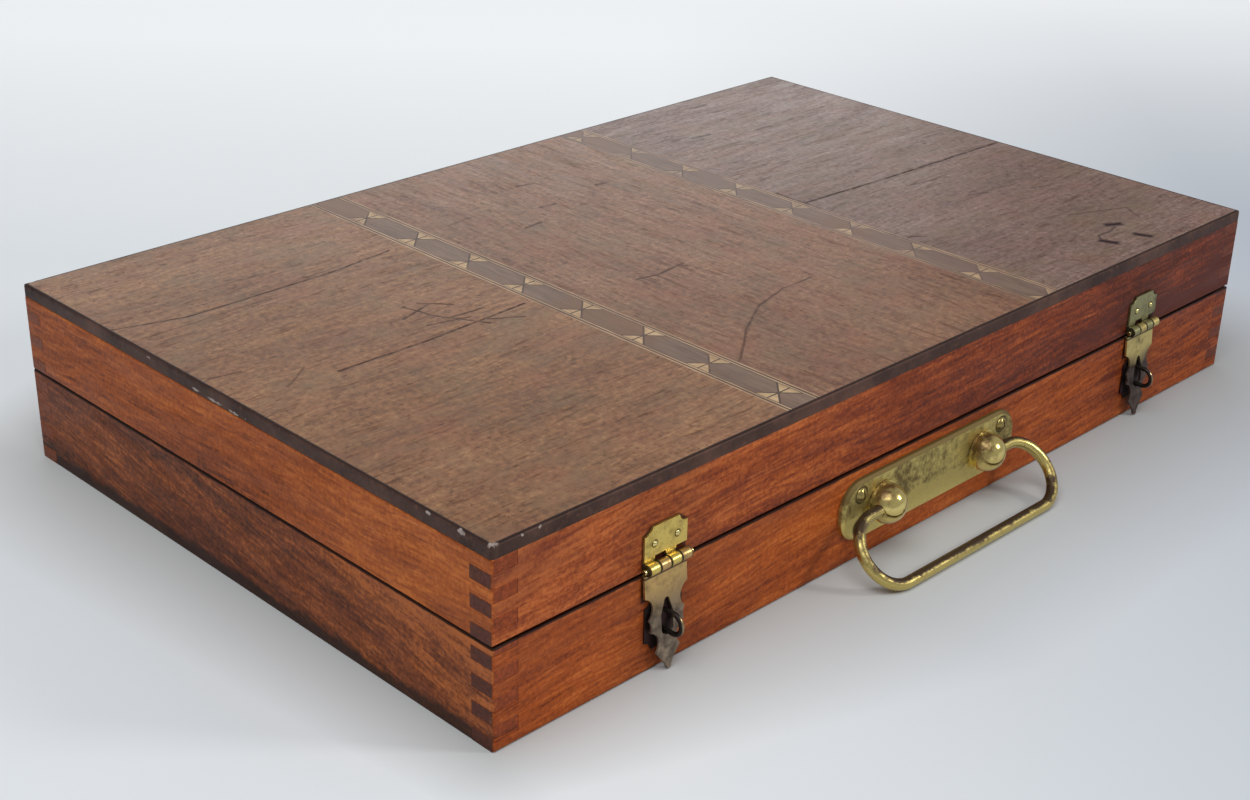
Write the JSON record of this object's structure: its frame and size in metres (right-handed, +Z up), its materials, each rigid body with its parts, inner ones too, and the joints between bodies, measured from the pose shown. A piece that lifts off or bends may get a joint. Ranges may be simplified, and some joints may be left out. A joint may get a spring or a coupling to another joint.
{
  "type": "hinged wooden case",
  "caption": "Flat finger-jointed wooden case with a veneered, inlaid lid on butt hinges, brass hasps that swing off their staples and a swinging bail handle.",
  "frame": {"origin": "middle of the case's underside, hinges and handle left out", "axes": "+X right along the front, +Y from the front to the hinges, +Z up; the front with hasps and handle faces -Y"},
  "size_m": [0.42, 0.297, 0.0717],
  "materials": {
    "mahogany": "satin",
    "panel": "matt",
    "ebonised_edge": "satin, worn",
    "veneer": "satin",
    "inlay_light": "satin",
    "inlay_brown": "satin",
    "inlay_dark": "satin",
    "brass": "aged",
    "tarnished_brass": "tarnished"
  },
  "bodies": {
    "base": {"base_front_board": "mahogany", "base_back_board": "mahogany", "base_left_board": "mahogany", "base_right_board": "mahogany", "base_bottom_panel": "panel", "handle_backplate": "brass", "handle_post_left": "brass", "handle_post_right": "brass", "handle_screws": "brass", "staple_plate_left": "brass", "staple_plate_right": "brass", "staple_left": "brass", "staple_right": "brass", "staple_plate_pins": "brass", "hinge_left_base_leaf": "brass", "hinge_right_base_leaf": "brass", "hinge_left_pin": "brass", "hinge_right_pin": "brass", "hinge_base_screws": "brass"},
    "lid": {"lid_front_board": "mahogany", "lid_back_board": "mahogany", "lid_left_board": "mahogany", "lid_right_board": "mahogany", "lid_core_panel": "panel", "lid_edge_front": "ebonised_edge", "lid_edge_back": "ebonised_edge", "lid_edge_left": "ebonised_edge", "lid_edge_right": "ebonised_edge", "veneer_left": "veneer", "veneer_centre": "veneer", "veneer_right": "veneer", "band_left_stringing": "inlay_light", "band_left_lozenges": "inlay_brown", "band_left_triangles": "inlay_light", "band_left_ground": "inlay_dark", "band_right_stringing": "inlay_light", "band_right_lozenges": "inlay_brown", "band_right_triangles": "inlay_light", "band_right_ground": "inlay_dark", "hinge_left_lid_leaf": "brass", "hinge_right_lid_leaf": "brass", "hinge_lid_screws": "brass", "hasp_left_lid_plate": "brass", "hasp_right_lid_plate": "brass", "hasp_left_pin": "brass", "hasp_right_pin": "brass", "hasp_nails": "brass"},
    "hasp_left": {"hasp_left_tongue": "tarnished_brass"},
    "hasp_right": {"hasp_right_tongue": "tarnished_brass"},
    "bail": {"handle_bail": "brass"}
  },
  "joints": [
    {"name": "lid_hinge", "type": "hinge", "parent": "base", "child": "lid", "pos_m": [0, 0.1348, 0.0373], "axis": [-1, 0, 0], "range_deg": [0, 180]},
    {"name": "hasp_left_swing", "type": "hinge", "parent": "lid", "child": "hasp_left", "pos_m": [-0.1385, -0.1345, 0.0394], "axis": [-1, 0, 0], "range_deg": [0, 178]},
    {"name": "hasp_right_swing", "type": "hinge", "parent": "lid", "child": "hasp_right", "pos_m": [0.1385, -0.1345, 0.0394], "axis": [-1, 0, 0], "range_deg": [0, 178]},
    {"name": "handle_swing", "type": "hinge", "parent": "base", "child": "bail", "pos_m": [0, -0.1393, 0.0213], "axis": [-1, 0, 0], "range_deg": [-52, 144]}
  ]
}
